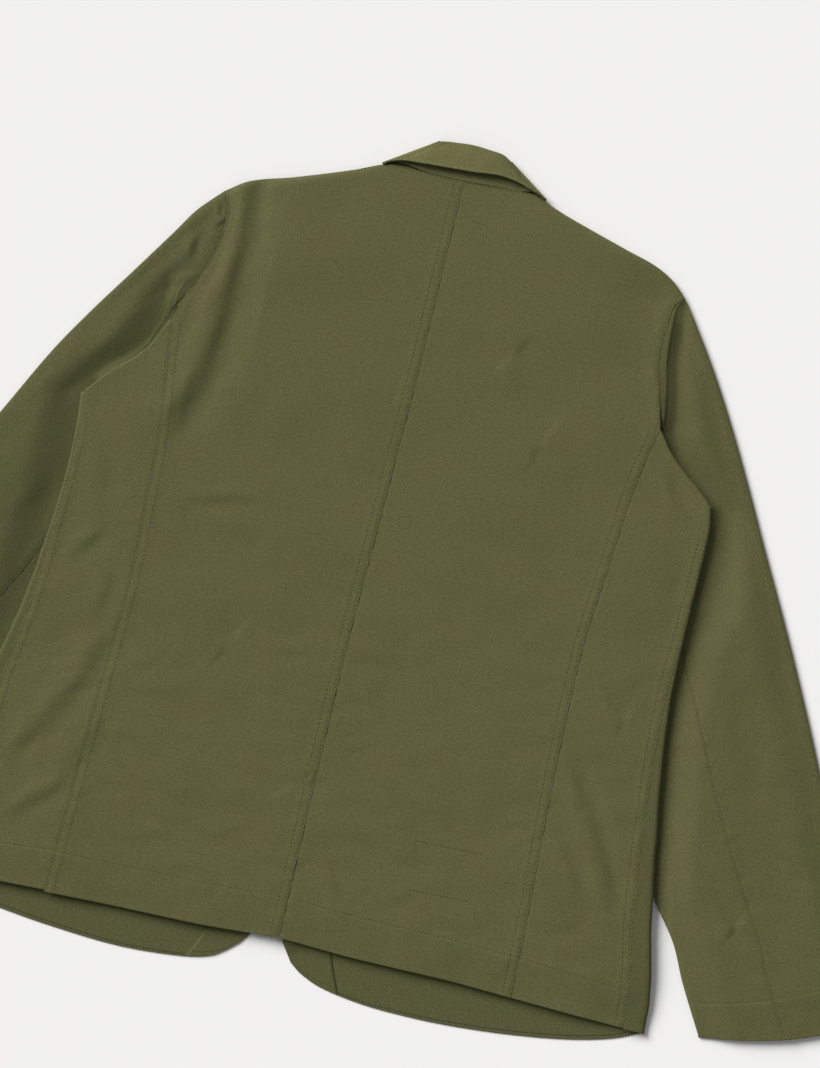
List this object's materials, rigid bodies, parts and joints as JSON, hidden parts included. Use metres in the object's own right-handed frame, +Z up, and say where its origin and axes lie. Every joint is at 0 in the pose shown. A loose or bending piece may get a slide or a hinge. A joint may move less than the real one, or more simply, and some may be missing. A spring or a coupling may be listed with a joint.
{
  "type": "baker jacket",
  "caption": "Single-breasted work jacket of olive twill with notched lapels, cut with side panels and two-piece sleeves, lying face down.",
  "frame": {"origin": "under the middle of the jacket's outline, on the surface it lies on", "axes": "+Z up from the surface, out of the jacket's back; +Y from the hem to the collar; +X towards the wearer's right sleeve"},
  "size_m": [1.06, 0.776, 0.013],
  "materials": {
    "back_left": "cotton twill",
    "back_right": "cotton twill",
    "side_left": "cotton twill",
    "side_right": "cotton twill",
    "front_left": "cotton twill",
    "front_right": "cotton twill",
    "facing_left": "cotton twill",
    "facing_right": "cotton twill",
    "lapel_left": "cotton twill",
    "lapel_right": "cotton twill",
    "sleeve_upper_left": "cotton twill",
    "sleeve_upper_right": "cotton twill",
    "sleeve_under_left": "cotton twill",
    "sleeve_under_right": "cotton twill",
    "collar_leaf": "cotton twill",
    "collar_stand": "cotton twill",
    "button_1": "matte",
    "button_2": "matte",
    "button_3": "matte"
  },
  "bodies": {
    "root": {"back_left": "back_left", "back_right": "back_right", "side_left": "side_left", "side_right": "side_right", "front_left": "front_left", "front_right": "front_right", "facing_left": "facing_left", "facing_right": "facing_right", "lapel_left": "lapel_left", "lapel_right": "lapel_right", "sleeve_upper_left": "sleeve_upper_left", "sleeve_upper_right": "sleeve_upper_right", "sleeve_under_left": "sleeve_under_left", "sleeve_under_right": "sleeve_under_right", "collar_leaf": "collar_leaf", "collar_stand": "collar_stand", "button_1": "button_1", "button_2": "button_2", "button_3": "button_3"}
  },
  "joints": []
}
